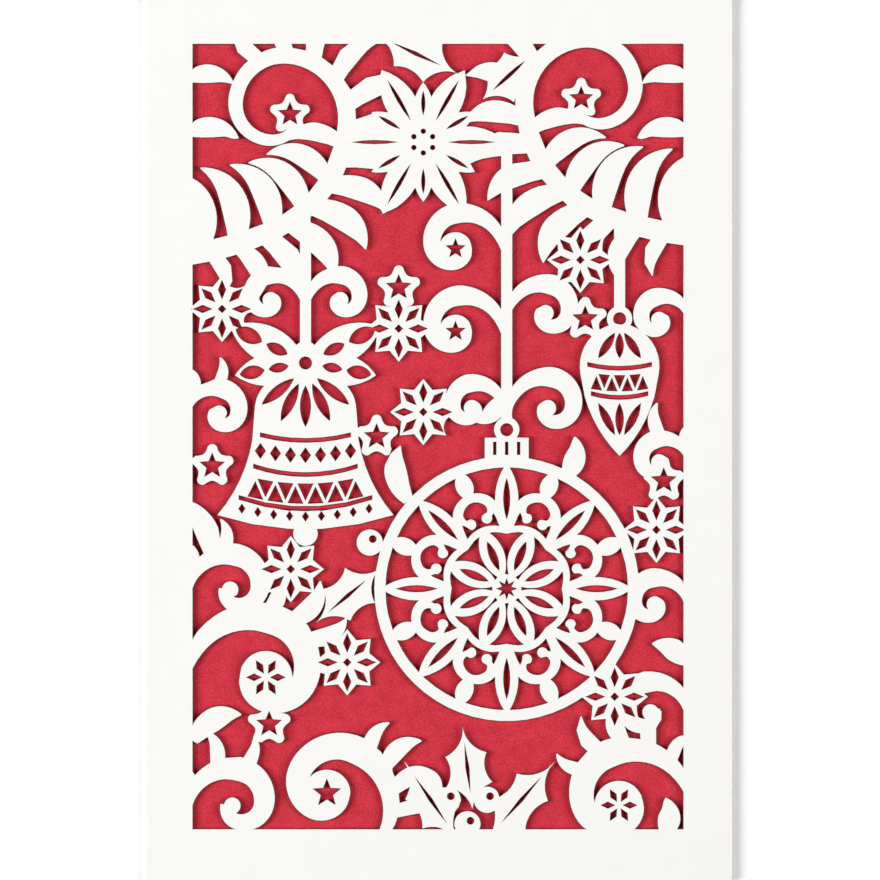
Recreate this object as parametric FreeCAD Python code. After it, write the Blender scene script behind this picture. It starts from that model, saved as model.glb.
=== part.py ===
import FreeCAD, Part
import cmath
import os
from math import acos, atan, ceil, cos, degrees, pi, radians, sin

# A laser-cut greeting card: an ivory cover folded once, its front leaf cut into a lattice of winter
# ornaments, with a sheet of red pearl paper taped behind the window. The card lies closed on its
# back leaf: X runs across it from the fold, Y up its height and Z up through its thickness, with
# the origin under its middle.
#
# The lattice is drawn flat, on a drawing of its own that is stretched to the window. Its points are
# complex numbers, so that a motif is moved by a sum and turned by a product. A motif is a pair of
# lists: the outlines of paper that it keeps, and the outlines that it cuts.

# ---- Driving dimensions, in millimetres ----
card_width = 120.0
card_height = 180.0
cover_sheet = 0.3            # thickness of the ivory card
side_margin = 10.0           # frame of the window, at the fold and at the opening edge
top_margin = 9.5
foot_margin = 10.5

backing_thickness = 0.25     # red pearl paper
backing_inset = 2.0          # from the card's edges to the red sheet's
tape_thickness = 0.8
tape_width = 5.0
tape_inset = 1.0             # from the red sheet's edges to the tape
tape_gap = 1.0               # between the ends of two strips at a corner
leaf_clearance = 0.2         # between the red sheet and the back leaf

# ---- The drawing's own sizes, before it is stretched ----
drawing_width = 100.0
drawing_height = 160.0
cutting_tolerance = 0.14     # how far the cutter's straight moves stand off a true curve
tip_width = 0.25             # paper left at the point of a leaf
slot_width = 0.9             # a narrow cut across an ornament
rim_width = 1.5              # paper left beside a slot, at an ornament's edge
string_width = 2.3
ring_wall = 1.3              # of the eye that a string ends in
vein_bulge = 0.4             # half the width of a cut along a leaf
scroll_tighten = 0.7         # each quarter turn's radius over the last one's

# ---- What follows from them ----
stack_height = 2 * cover_sheet + leaf_clearance + backing_thickness + tape_thickness
fold_radius = stack_height / 2
window_width = card_width - 2 * side_margin
window_height = card_height - top_margin - foot_margin
window_middle = (foot_margin - top_margin) / 2
backing_width = card_width - 2 * backing_inset
backing_height = card_height - 2 * backing_inset
backing_bottom = cover_sheet + leaf_clearance
tape_bottom = backing_bottom + backing_thickness
front_bottom = stack_height - cover_sheet


# ---- Points and curves of the drawing ----
def polar(length, angle):
    return cmath.rect(length, radians(angle))


def arc(centre, start, turn):
    """Points from start round centre, as close together as the cutting tolerance asks."""
    radius = abs(start - centre)
    step = 2 * acos(max(0.0, 1 - cutting_tolerance / radius))
    count = max(1, ceil(abs(radians(turn)) / step))
    return [centre + (start - centre) * polar(1, turn * i / count) for i in range(count + 1)]


def bow(a, b, sag):
    """An arc from a to b that stands sag out to the left of the straight line between them."""
    half = (b - a) / 2
    reach = abs(half)
    centre = a + half + 1j * half / reach * (sag - (reach ** 2 + sag ** 2) / (2 * sag))
    return arc(centre, a, -degrees(4 * atan(sag / reach)))


def path(start, heading, runs, width):
    """Stations (point, heading, width) of a pen whose runs are (radius, turn, width at the end)."""
    stations = [(start, heading, width)]
    for radius, turn, last in runs:
        at, facing, first = stations[-1]
        centre = at + polar(radius, facing + (90 if turn > 0 else -90))
        points = arc(centre, at, turn)
        for i, point in enumerate(points[1:], 1):
            share = i / (len(points) - 1)
            stations.append((point, facing + turn * share, first + (last - first) * share))
    return stations


def along(stem, share):
    """The point and the heading at a share of a stem's length."""
    steps = [(abs(b[0] - a[0]), a, b) for a, b in zip(stem, stem[1:])]
    rest = share * sum(length for length, _, _ in steps)
    for length, a, b in steps:
        if rest <= length:
            return a[0] + (b[0] - a[0]) * rest / length, a[1] + (b[1] - a[1]) * rest / length
        rest -= length
    return stem[-1][:2]


# ---- Outlines ----
def ribbon(stations):
    left = [point + polar(width / 2, heading + 90) for point, heading, width in stations]
    right = [point - polar(width / 2, heading + 90) for point, heading, width in stations]
    return left + right[::-1]


def bar(a, b, width):
    side = 1j * (b - a) / abs(b - a) * width / 2
    return [a + side, b + side, b - side, a - side]


def disc(at, radius):
    return arc(at, at + radius, 360)[:-1]


def blade(base, tip, bulge):
    """A leaf from base to tip, both of whose sides are bows."""
    return bow(base, tip, bulge) + bow(tip, base, bulge)[1:-1]


def rhombus(at, along_half, across_half, turn):
    return [at + polar(along_half, turn), at + polar(across_half, turn + 90),
            at - polar(along_half, turn), at - polar(across_half, turn + 90)]


def star(at, radius, waist, points, turn):
    return [at + polar(radius if i % 2 == 0 else waist, turn + 180 * i / points)
            for i in range(2 * points)]


def lobed(at, radius, depth, lobes, turn):
    """A flower's outline, whose radius waves between radius and radius less depth."""
    steps = lobes * 5
    return [at + polar(radius - depth * (1 - cos(2 * pi * i * lobes / steps)) / 2, turn + 360 * i / steps)
            for i in range(steps)]


# ---- Motifs ----
def gathered(*motifs):
    """All that the motifs keep and all that they cut, as one motif."""
    return sum([keep for keep, _ in motifs], []), sum([cut for _, cut in motifs], [])


def dot(at, radius):
    return [disc(at, radius)], []


def berry(at, radius):
    return [disc(at, radius)], [disc(at + polar(radius * 0.35, 50), radius * 0.28)]


def star_disc(at, radius):
    return [disc(at, radius)], [star(at, radius * 0.62, radius * 0.27, 5, 90)]


def snow_disc(at, radius):
    """A disc with six lozenges cut about its centre."""
    lozenges = [rhombus(at + polar(radius * 0.45, 60 * i), radius * 0.29, radius * 0.14, 60 * i)
                for i in range(6)]
    return [disc(at, radius)], lozenges


def star_flower(at, radius):
    """Five round petals about a cut star."""
    return [lobed(at, radius, radius * 0.34, 5, 90)], [star(at, radius * 0.6, radius * 0.27, 5, 90)]


def blossom(at, radius):
    """An eight-pointed star of petals with a lozenge cut in each."""
    lozenges = [rhombus(at + polar(radius * 0.58, 45 * i), radius * 0.29, radius * 0.12, 45 * i)
                for i in range(8)]
    return [star(at, radius, radius * 0.72, 8, 0)], lozenges + [star(at, 0.9, 0.6, 4, 0)]


def plume(base, heading, radius, turn, width):
    """A curved leaf that swells, bends more and more and runs out to a point."""
    stations = path(base, heading, [(radius, turn * 0.4, 1), (radius * 0.7, turn * 0.6, 1)], 1)
    last = len(stations) - 1
    return [ribbon([(at, facing, tip_width + width * sin(pi * (0.15 + 0.85 * i / last)))
                    for i, (at, facing, _) in enumerate(stations)])], []


def foliage(stem, side, first, last, sizes, lean=42, curl=80):
    """A row of plumes on one side of a stem, of the given sizes, which lean ahead and curl away."""
    plumes = []
    for i, size in enumerate(sizes):
        at, heading = along(stem, first + (last - first) * i / (len(sizes) - 1))
        plumes.append(plume(at, heading + side * lean, size, side * curl, size * 0.36))
    return gathered(*plumes)


def scroll(start, heading, radius, side, width, eye=dot, eye_size=1.7, leaves=(), reach=(0.1, 0.5)):
    """A stroke that curls in to its eye by quarter turns, to the left where side is 1 and to the
    right where it is -1, with leaves along a stretch of its outer side."""
    runs = [(radius * scroll_tighten ** quarter, 90 * side, width * (1 - quarter / 6))
            for quarter in range(4)]
    stem = path(start, heading, runs, width * 0.4)
    end, facing, _ = stem[-1]
    middle = end + polar(eye_size * 0.7, facing + 90 * side)
    motif = gathered(([ribbon(stem)], []), eye(middle, eye_size))
    if leaves:
        motif = gathered(motif, foliage(stem, -side, *reach, leaves))
    return motif


def holly(base, tip, width):
    """A spiny leaf: the side between two spines is hollow."""
    reach = tip - base
    across = 1j * reach / abs(reach) * width / 2
    low = base + reach * 0.3
    high = base + reach * 0.66
    spines = [base, low + across, high + across * 0.9, tip, high - across * 0.9, low - across, base]
    outline = []
    for a, b in zip(spines, spines[1:]):
        outline += bow(a, b, -abs(b - a) * 0.16)[:-1]
    return [outline], [blade(base + reach * 0.2, base + reach * 0.8, vein_bulge)]


def poinsettia(at, size):
    """Six long bracts over six short ones, about a ring of buds."""
    keep = [disc(at, size * 0.22)]
    remove = []
    for facing in range(0, 360, 60):
        between = facing + 30
        keep.append(blade(at + polar(1, facing), at + polar(size, facing), size * 0.19))
        keep.append(blade(at + polar(1, between), at + polar(size * 0.72, between), size * 0.12))
        remove.append(blade(at + polar(size * 0.3, facing), at + polar(size * 0.86, facing), vein_bulge))
        remove.append(blade(at + polar(size * 0.34, between), at + polar(size * 0.6, between), vein_bulge))
        remove.append(disc(at + polar(size * 0.13, between), size * 0.03))
    return keep, remove


# ---- Hanging ornaments ----
def mirrored(right, middle):
    """The points of a right side and the same points on the left, from foot to head."""
    return [complex(2 * middle - point.real, point.imag) for point in right][::-1]


def half_width(side, middle, height):
    """How far a side stands from the middle line at a height."""
    for a, b in zip(side, side[1:]):
        if b.imag <= height <= a.imag:
            share = (a.imag - height) / (a.imag - b.imag)
            return a.real + (b.real - a.real) * share - middle
    return 0.0


def zigzag(side, middle, top, foot, droop, pitch):
    """A drooping band of triangles across an ornament, point up and point down in turn."""
    full = half_width(side, middle, foot)
    reach = half_width(side, middle, (top + foot) / 2) - rim_width
    count = round(2 * reach / pitch)
    step = 2 * reach / count
    half = step / 2 - slot_width / 2
    tip = (top - foot) * 0.15

    def corner(across, height):
        return complex(middle + across, height - droop * (1 - (across / full) ** 2))

    cuts = []
    for i in range(count):
        at = (i + 0.5) * step - reach
        cuts.append([corner(at - half, foot), corner(at + half, foot), corner(at, top - tip)])
        if i:
            at -= step / 2
            cuts.append([corner(at - half, top), corner(at, foot + tip), corner(at + half, top)])
    return cuts


def slot(side, middle, height, droop):
    """A narrow curved cut across an ornament, from rim to rim."""
    reach = half_width(side, middle, height) - rim_width
    upper = bow(complex(middle + reach, height), complex(middle - reach, height), droop)
    return upper + [point - 1j * slot_width for point in upper][::-1]


def bell(crown, width, height):
    """A bell: leaves cut in its dome, lozenges at its waist and zigzags above a curved lip."""
    middle = crown.real
    shoulder = crown + complex(width * 0.29, -height * 0.28)
    hem = crown + complex(width * 0.5, -height)
    side = bow(crown + width * 0.1, shoulder, height * 0.07)[:-1] + bow(shoulder, hem, -height * 0.07)
    lip = bow(hem, mirrored(side, middle)[0], height * 0.1)[1:-1]
    cuts = [slot(side, middle, crown.imag - height * drop, height * droop)
            for drop, droop in ((0.42, 0.04), (0.64, 0.06), (0.86, 0.08))]
    cuts += zigzag(side, middle, crown.imag - height * 0.7, crown.imag - height * 0.84,
                   height * 0.08, width * 0.11)
    for i in range(-2, 3):
        cuts.append(blade(crown + polar(height * 0.09, -90 + 32 * i),
                          crown + polar(height * 0.38, -90 + 27 * i), height * 0.038))
    for count, drop, along_half, pitch in ((7, 0.58, 0.055, 0.085), (9, 1.01, 0.035, 0.09)):
        for i in range(count):
            across = i - (count - 1) / 2
            at = crown + complex(across * width * pitch, -height * drop + across ** 2 * 0.1)
            cuts.append(rhombus(at, height * along_half, height * along_half * 0.7, 90))
    clapper = disc(crown - 1j * (height * 1.13), width * 0.07)
    return [side + lip + mirrored(side, middle), clapper], cuts


def bauble(at, radius):
    """The filling of a round bauble: petals in a ring, then leaves between pairs of scrolls."""
    ring = radius * 0.46
    keep = [disc(at, radius * 0.12)]
    remove = [star(at, radius * 0.085, radius * 0.04, 8, 0)]
    for i in range(8):
        facing = 45 * i
        between = facing + 22.5
        a = at + polar(ring - 0.6, facing)
        b = at + polar(ring - 0.6, facing + 45)
        inner = bow(a, b, -1.6)
        keep.append(inner + [point + polar(1.5, between) for point in inner][::-1])
        keep.append(blade(at + polar(2, between), at + polar(ring + 1.4, between), 2.4))
        remove.append(blade(at + polar(4, between), at + polar(ring * 0.88, between), 0.8))
        keep.append(blade(at + polar(ring * 0.94, facing), at + polar(radius, facing), 2.4))
        remove.append(blade(at + polar(ring * 1.2, facing), at + polar(radius * 0.88, facing), 0.7))
        keep.append(blade(at + polar(radius * 0.76, between), at + polar(radius, between), 1.8))
        for side in (1, -1):
            foot = at + polar(ring + 0.3, facing + side * 3)
            runs = [(radius * 0.4, side * 32, 1.8), (radius * 0.15, side * 125, 1.7),
                    (radius * 0.085, side * 110, 1.2)]
            stem = path(foot, facing + side * 8, runs, 1.5)
            keep += [ribbon(stem), disc(stem[-1][0], 1.1)]
    return keep, remove


def cap(at, width, height):
    """A bauble's cap with three upright slots."""
    slots = [bar(at + complex(x, -height * 0.3), at + complex(x, height * 0.3), slot_width * 0.7)
             for x in (-width * 0.27, 0, width * 0.27)]
    return [bar(at - width / 2, at + width / 2, height)], slots


def finial(top, width, height):
    """A drop with a point below, cut with leaves about a zigzag band."""
    middle = top.real
    shoulder = top + complex(width / 2, -height * 0.38)
    side = bow(top + 1, shoulder, width * 0.16)[:-1] + bow(shoulder, top - 1j * height, width * 0.1)
    droop = height * 0.03
    cuts = [slot(side, middle, top.imag - height * drop, droop) for drop in (0.29, 0.51)]
    cuts += zigzag(side, middle, top.imag - height * 0.36, top.imag - height * 0.48, droop, width * 0.2)
    for i in (-1, 0, 1):
        for inner, outer in ((0.07, 0.26), (0.84, 0.6)):
            cuts.append(blade(top + complex(i * 0.95, -height * inner),
                              top + complex(i * width * 0.27, -height * outer), 0.85))
    return [side + mirrored(side, middle)[1:]], cuts


def ribbon_bow(knot, reach):
    """Two pairs of ribbon loops, each loop with two windows, and a knot with a round hole."""
    keep = [disc(knot, 3.0)]
    remove = [disc(knot, 1.3)]
    for facing, length in ((26, reach), (154, reach), (-10, reach * 0.86), (190, reach * 0.86)):
        bulge = length * 0.22
        keep.append(blade(knot, knot + polar(length, facing), bulge))
        for first, last, fill in ((0.24, 0.52, 0.3), (0.58, 0.93, 0.42)):
            remove.append(blade(knot + polar(length * first, facing), knot + polar(length * last, facing),
                                bulge * fill))
    return keep, remove


def hanger(top, foot):
    """A string from top down to an eye at foot."""
    return [bar(top, foot, string_width), disc(foot, 2 * ring_wall)], [disc(foot, ring_wall)]


# ---- The layout ----
def branch(start, heading, side):
    """A leafy stem that runs in from the frame and curls into a spiral about a star flower."""
    runs = [(60, 18 * side, 4.0), (26, 62 * side, 3.8), (13, 90 * side, 3.4), (10, 90 * side, 3.0),
            (7.5, 90 * side, 2.4), (5.5, 60 * side, 1.8)]
    stem = path(start, heading, runs, 4.6)
    end, facing, _ = stem[-1]
    return gathered(([ribbon(stem)], []), star_flower(end + polar(3, facing + 50 * side), 4.2),
                    foliage(stem, -side, 0.05, 0.72, (9, 11, 13, 14, 14, 13, 13, 12, 12, 11, 11, 10, 9)),
                    foliage(stem, side, 0.03, 0.42, (15, 15, 14, 13, 12, 10), 58, 88))


def garland():
    return gathered(branch(52 + 41j, 176, -1), branch(-52 + 37j, 6, 1),
                    plume(-51 + 62j, 25, 11, -70, 4.0), plume(-51 + 73j, 25, 10, -70, 3.6),
                    plume(51 + 62j, 155, 11, 70, 4.0), plume(51 + 73j, 155, 10, 70, 3.6))


def scrolls():
    return gathered(
        scroll(-51 - 47j, 75, 14, -1, 6.4, snow_disc, 5.4, (9, 11, 10, 8), (0.36, 0.6)),
        scroll(-11 - 81j, 62, 12.5, 1, 5.8, star_disc, 4.8, (8, 10, 10, 8), (0.08, 0.34)),
        scroll(-51 - 75j, 80, 9, -1, 5.0, leaves=(6, 8, 7), reach=(0.1, 0.4)),
        scroll(-51 - 31j, 80, 8.5, -1, 4.6, leaves=(8, 7), reach=(0.12, 0.3)),
        scroll(51 - 72j, 110, 12.5, 1, 5.8, snow_disc, 5.0, (7, 9, 10, 9, 7), (0.12, 0.5)),
        scroll(51 - 56j, 100, 7.4, 1, 4.4),
        scroll(51 - 34j, 100, 6.4, 1, 4.0),
        scroll(51 + 25j, 110, 5.5, 1, 3.8),
        scroll(51 - 4j, 110, 5.5, 1, 3.8, leaves=(6, 7), reach=(0.1, 0.3)),
        scroll(-51 + 6j, 70, 6, -1, 4.0, leaves=(7, 6), reach=(0.12, 0.3)),
        scroll(13.4 + 38j, 96, 8.5, 1, 4.2, star_disc, 3.4),
        scroll(13.4 + 21j, 95, 8.5, 1, 4.2, star_disc, 3.4),
        scroll(14.6 + 26j, 75, 7, -1, 4.2),
        scroll(13.4 + 6j, 100, 6, 1, 3.8),
        scroll(14.6 + 6j, 80, 7.5, -1, 4.2),
        scroll(-26.4 + 28j, 80, 6, -1, 3.8),
        scroll(-27.6 + 28j, 100, 6, 1, 3.8))


def loose_leaves():
    return gathered(*[plume(*shape) for shape in (
        (-50 - 62j, 60, 12, -70, 4.6), (46 - 81j, 60, 9, 60, 4.4), (26 - 8j, 50, 10, 60, 4.2),
        (-6 - 13j, 130, 12, -70, 4.4), (51 - 46j, 130, 12, 50, 4.4), (-51 - 14j, -40, 14, -70, 4.6),
        (-38 - 37j, 20, 10, -80, 4.2), (13 + 8j, 250, 9, -60, 3.6))])


def hangers():
    return gathered(hanger(14 + 62j, 14 + 1.4j), hanger(-27 + 47j, -27 + 17j), hanger(37 + 44.6j, 37 + 24j))


def flowers():
    blossoms = (-8 + 22j, -3 + 5j, -30 - 27j, -18.5 - 46j, 36 - 53j, 44.5 - 19j, 29 + 36j, -44 + 26j)
    star_flowers = (-8 + 30.4j, -12.5 + 0j, -34.4 - 58.6j, 46 - 9j, 30 + 24j, -46 - 6j)
    return gathered(
        poinsettia(-3 + 60j, 17),
        *[blossom(at, 6.8) for at in blossoms],
        *[star_flower(at, 4.5) for at in star_flowers])


def berries():
    """Holly with its berries: at the head, beside the bauble and at the foot."""
    leaves = ((9 + 68.6j, 20 + 78.6j), (4 + 74j, -13 + 82j), (-12 - 27j, -25 - 38j),
              (4 - 82j, -7 - 66j), (10 - 82j, 24 - 66j), (7 - 76j, 5 - 59j))
    fruit = (-13.9 - 21.6j, 2 - 74j, 10 - 74j, 6 - 79j)
    return gathered(*[holly(base, tip, 9.5) for base, tip in leaves], *[berry(at, 2.7) for at in fruit])


def layers():
    """The drawing from the back: each layer covers what lies behind it and then has its own cuts."""
    at = 14 - 31j
    radius = 27
    wall = 2.3
    ring = ([disc(at, radius)], [disc(at, radius - wall)])
    return [
        gathered(garland(), scrolls(), loose_leaves(), hangers(), ring),
        gathered(bauble(at, radius - wall * 0.6), cap(at + 1j * (radius + 1.6), 9, 4.4),
                 ribbon_bow(-27 + 15j, 17), bell(-27 + 13j, 36, 29), finial(37 + 23j, 16, 27),
                 flowers(), berries()),
    ]


# ---- From the drawing to flat sheets of paper ----
def spot(point):
    """A point of the drawing, placed in the window."""
    return FreeCAD.Vector(point.real * window_width / drawing_width,
                          point.imag * window_height / drawing_height + window_middle, 0)


def plate(outline):
    corners = [spot(point) for point in outline]
    return Part.Face(Part.makePolygon(corners + corners[:1]))


def worked(openings, window, motif):
    """The openings that are left in the window once a motif is laid over it and its cuts are made."""
    keep, remove = motif
    uncovered = openings.cut([plate(outline) for outline in keep])
    paper = window.cut(uncovered.Faces + [plate(outline) for outline in remove])
    return window.cut(paper.Faces)


def lattice_openings():
    """The openings of the window, as flat faces."""
    corner = complex(drawing_width, drawing_height) / 2
    window = plate([-corner, corner.conjugate(), corner, -corner.conjugate()])
    openings = window
    for layer in layers():
        openings = worked(openings, window, layer)
    return openings


# ---- The pieces ----
def slab(width, depth, height, x, y, z):
    """A flat rectangular piece centred on x and y, with its underside at z."""
    return Part.makeBox(width, depth, height, FreeCAD.Vector(x - width / 2, y - depth / 2, z))


def front_leaf():
    """The front leaf with its openings cut, from the fold's end to the opening edge."""
    fold_end = -card_width / 2 + fold_radius
    corner = FreeCAD.Vector(fold_end, -card_height / 2, 0)
    leaf = Part.makePlane(card_width - fold_radius, card_height, corner)
    cut_leaf = leaf.cut(lattice_openings().Faces)
    cut_leaf.translate(FreeCAD.Vector(0, 0, front_bottom))
    return cut_leaf.extrude(FreeCAD.Vector(0, 0, cover_sheet))


def fold():
    """The rounded fold that joins the two leaves along the left side."""
    foot = FreeCAD.Vector(-card_width / 2 + fold_radius, -card_height / 2, fold_radius)
    along_fold = FreeCAD.Vector(0, 1, 0)
    outside = Part.makeCylinder(fold_radius, card_height, foot, along_fold)
    inside = Part.makeCylinder(fold_radius - cover_sheet, card_height, foot, along_fold)
    room = slab(fold_radius * 2, card_height, stack_height, -card_width / 2 + fold_radius * 2, 0, 0)
    return outside.cut(inside).cut(room)


def cover():
    back_leaf = slab(card_width - fold_radius, card_height, cover_sheet, fold_radius / 2, 0, 0)
    return front_leaf().fuse([fold(), back_leaf]).removeSplitter()


def backing_sheet():
    return slab(backing_width, backing_height, backing_thickness, 0, 0, backing_bottom)


def tapes():
    """Four foam strips about the window; the top and foot strips lie between the side strips."""
    out_x = backing_width / 2 - tape_inset - tape_width / 2
    out_y = backing_height / 2 - tape_inset - tape_width / 2
    long_side = backing_height - 2 * tape_inset
    short_side = backing_width - 2 * (tape_inset + tape_width + tape_gap)
    return {
        "tape_fold_side": slab(tape_width, long_side, tape_thickness, -out_x, 0, tape_bottom),
        "tape_opening_side": slab(tape_width, long_side, tape_thickness, out_x, 0, tape_bottom),
        "tape_top": slab(short_side, tape_width, tape_thickness, 0, out_y, tape_bottom),
        "tape_foot": slab(short_side, tape_width, tape_thickness, 0, -out_y, tape_bottom),
    }


pieces = {"cover": cover(), "backing_sheet": backing_sheet(), **tapes()}
os.makedirs("parts", exist_ok=True)
for name, shape in pieces.items():
    shape.exportStep(f"parts/{name}.step")
    print(name, len(shape.Solids), "solid", round(shape.Volume, 1), "mm3", shape.isValid())
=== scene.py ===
# %% [markdown]
# # A laser-cut Christmas card
# The card is one sheet of ivory board, folded once. A laser has cut a lattice of ornaments
# through its front leaf. A sheet of red pearl paper lies inside, held a little below the lattice
# by strips of foam tape, so that the red shows through every opening and the lattice throws a
# soft shadow on it. The construction model already holds every size, so the first step is to load
# it and to measure it.

# %% Load the construction model and keep its box
import math

import bmesh
import bpy
import numpy as np
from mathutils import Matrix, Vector
from mathutils.kdtree import KDTree


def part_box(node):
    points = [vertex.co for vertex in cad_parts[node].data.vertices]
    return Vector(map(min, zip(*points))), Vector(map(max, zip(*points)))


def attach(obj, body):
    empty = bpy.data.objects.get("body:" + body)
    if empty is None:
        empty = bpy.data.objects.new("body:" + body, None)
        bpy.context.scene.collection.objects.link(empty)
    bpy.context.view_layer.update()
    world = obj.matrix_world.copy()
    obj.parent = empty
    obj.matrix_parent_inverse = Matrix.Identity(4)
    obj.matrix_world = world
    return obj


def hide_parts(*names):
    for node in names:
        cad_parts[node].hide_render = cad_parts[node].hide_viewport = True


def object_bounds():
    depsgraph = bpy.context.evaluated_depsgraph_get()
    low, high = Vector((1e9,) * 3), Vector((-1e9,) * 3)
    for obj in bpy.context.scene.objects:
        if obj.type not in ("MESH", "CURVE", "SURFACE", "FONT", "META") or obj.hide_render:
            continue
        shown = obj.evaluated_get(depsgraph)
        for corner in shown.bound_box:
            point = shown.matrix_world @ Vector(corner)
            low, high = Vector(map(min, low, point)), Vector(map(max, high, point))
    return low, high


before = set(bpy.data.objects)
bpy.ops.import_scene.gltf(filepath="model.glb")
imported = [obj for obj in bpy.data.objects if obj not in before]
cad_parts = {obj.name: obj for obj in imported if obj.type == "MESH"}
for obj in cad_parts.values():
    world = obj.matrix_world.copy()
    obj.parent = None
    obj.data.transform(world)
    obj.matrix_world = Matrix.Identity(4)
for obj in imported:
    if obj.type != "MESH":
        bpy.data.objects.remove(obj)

MM = 0.001
cad_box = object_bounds()
print("card, in mm:", [round((b - a) / MM, 2) for a, b in zip(*cad_box)])

# %% [markdown]
# ## Two small helpers
# Colours are chosen as they look on a screen, but the renderer adds and multiplies light, so it
# needs them linear. One function does that for every colour in the scene. A second one adds a
# node with its settings and its links in one line, so that each material below reads as a list of
# what it does.

# %% Colour and node helpers
def linear(colour):
    """A screen colour such as "#D63E4C" as the linear RGBA that shaders take."""
    shares = [int(colour[i:i + 2], 16) / 255 for i in (1, 3, 5)]
    return [s / 12.92 if s <= 0.04045 else ((s + 0.055) / 1.055) ** 2.4 for s in shares] + [1.0]


def add_node(tree, kind, sockets=None, **settings):
    """A new node. A socket given a node or an output is linked; anything else is its value."""
    node = tree.nodes.new(kind)
    for name, value in settings.items():
        setattr(node, name, value)
    for key, value in (sockets or {}).items():
        if isinstance(value, bpy.types.Node):
            value = value.outputs[0]
        if isinstance(value, bpy.types.NodeSocket):
            tree.links.new(value, node.inputs[key])
        else:
            node.inputs[key].default_value = value
    return node


print("ivory as light:", [round(c, 3) for c in linear("#FAF7F0")])

# %% [markdown]
# ## Where the laser went
# The cutter's path is the edge of the front leaf's upper face: one closed path round the leaf and
# one round every opening. It could be drawn again here, but then the two models could differ, so
# it is read from a merged copy of the construction mesh. Each path keeps the paper on its left.

# %% Read the closed cutting paths of the front leaf
MERGE_WITHIN = 0.002
LEVEL_WITHIN = 0.001


def cutting_paths(node):
    """The closed outlines of a node's highest flat face, in mm, and that face's height."""
    solid = bmesh.new()
    solid.from_mesh(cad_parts[node].data)
    bmesh.ops.remove_doubles(solid, verts=solid.verts, dist=MERGE_WITHIN * MM)
    top = max(v.co.z for v in solid.verts)
    for face in solid.faces:
        face.tag = min(v.co.z for v in face.verts) > top - LEVEL_WITHIN * MM
    onward = {}
    for face in solid.faces:
        for corner in face.loops:
            if face.tag and not any(f.tag and f != face for f in corner.edge.link_faces):
                onward[corner.vert] = corner.link_loop_next.vert
    paths = []
    while onward:
        first, vert = onward.popitem()
        path = [first.co.to_2d() / MM]
        while vert is not first:
            path.append(vert.co.to_2d() / MM)
            vert = onward.pop(vert)
        paths.append(np.array(path))
    solid.free()
    return paths, top / MM


rough_paths, leaf_top = cutting_paths("cover")
outer_path = max(rough_paths, key=lambda p: np.ptp(p[:, 0]))
openings = [p for p in rough_paths if p is not outer_path]
print(len(openings), "openings,", sum(map(len, openings)), "points,",
      "top at", round(leaf_top, 3), "mm")

# %% [markdown]
# ## Slits that aren't worth cutting
# Where two ornaments nearly touch, a hair-thin slit can be left between them. Nobody would send
# such a slit to the laser, because it would look like a flaw. A slit's mean width is twice its
# area over the length of its path, so the thinnest openings are easy to find and to leave out.

# %% Leave out the hair-thin slits
SMALLEST_SLIT = 0.3


def mean_width(path):
    """Twice the area inside a closed path, over the path's length."""
    onward = np.roll(path, -1, 0)
    area = abs((path[:, 0] * onward[:, 1] - path[:, 1] * onward[:, 0]).sum()) / 2
    return 2 * area / np.hypot(*(onward - path).T).sum()


openings = [p for p in openings if mean_width(p) > SMALLEST_SLIT]
print(len(openings), "openings are wider than", SMALLEST_SLIT, "mm")

# %% [markdown]
# ## From straight moves back to true curves
# The construction model flattens each curve to straight moves that stand 0.14 mm off it at most.
# The curves can be found again, if the real corners are known. An arc that turns by some angle
# over a move stands off it by an eighth of their product, so each point can be asked: if the path
# turned smoothly here, how far off its moves would it stand?

# %% Moves, turns and how far a curve stands off
CUTTER_TOLERANCE = 0.14


def wrapped(angle):
    """The same angle, between half a turn back and half a turn on."""
    return (angle + math.pi) % (2 * math.pi) - math.pi


def moves_of(path):
    """Each move's length and heading, and how far the path turns at each move's start."""
    move = np.roll(path, -1, 0) - path
    heading = np.arctan2(move[:, 1], move[:, 0])
    return np.hypot(*move.T), heading, wrapped(heading - np.roll(heading, 1))


def off_by(length, turn):
    """How far the middle of an arc that turns this much over a move stands off the move."""
    return length * turn / 8


longest = max(moves_of(p)[0].max() for p in openings)
print("longest move:", round(longest, 1), "mm")

# %% [markdown]
# ## Which points look like a corner
# A turn of more than 76 degrees is a corner for sure. A smaller one is a corner if it stands out:
# its curve would stand further off its moves than the cutter allows, or it turns over twice as
# much as its neighbours do. Two kinds of point are spared, because only curves make them: the
# ends of a move that turn alike, and the middle of a round end, where two like moves meet.

# %% Rules for one point or one move
LEAST_OFF = 0.3 * CUTTER_TOLERANCE
MOST_OFF = 1.2 * CUTTER_TOLERANCE
MOST_OFF_IN_A_ROW = 1.6 * CUTTER_TOLERANCE
MOST_OFF_BESIDE_A_RIB = 2.5 * CUTTER_TOLERANCE
SURE_CORNER, ALONE_CORNER, GENTLE_TURN, SLIGHT_TURN = (math.radians(a) for a in (76, 40, 32, 14))
ALIKE_TURNS, ALIKE_LENGTHS, STANDS_OUT = 0.6, 0.25, 2.2


def even_moves(length, turn):
    """Moves whose ends turn one way by about the same, and stand off as a curve's moves do."""
    size, onward = abs(turn), abs(np.roll(turn, -1))
    smaller, larger = np.minimum(size, onward), np.maximum(size, onward)
    gentle, off = larger < GENTLE_TURN, off_by(length, larger)
    fits = off < np.where(gentle, MOST_OFF_BESIDE_A_RIB, MOST_OFF)
    fits &= off > np.where(gentle, 0.0, LEAST_OFF)
    return fits & (turn * np.roll(turn, -1) > 0) & (smaller > ALIKE_TURNS * larger)


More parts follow.
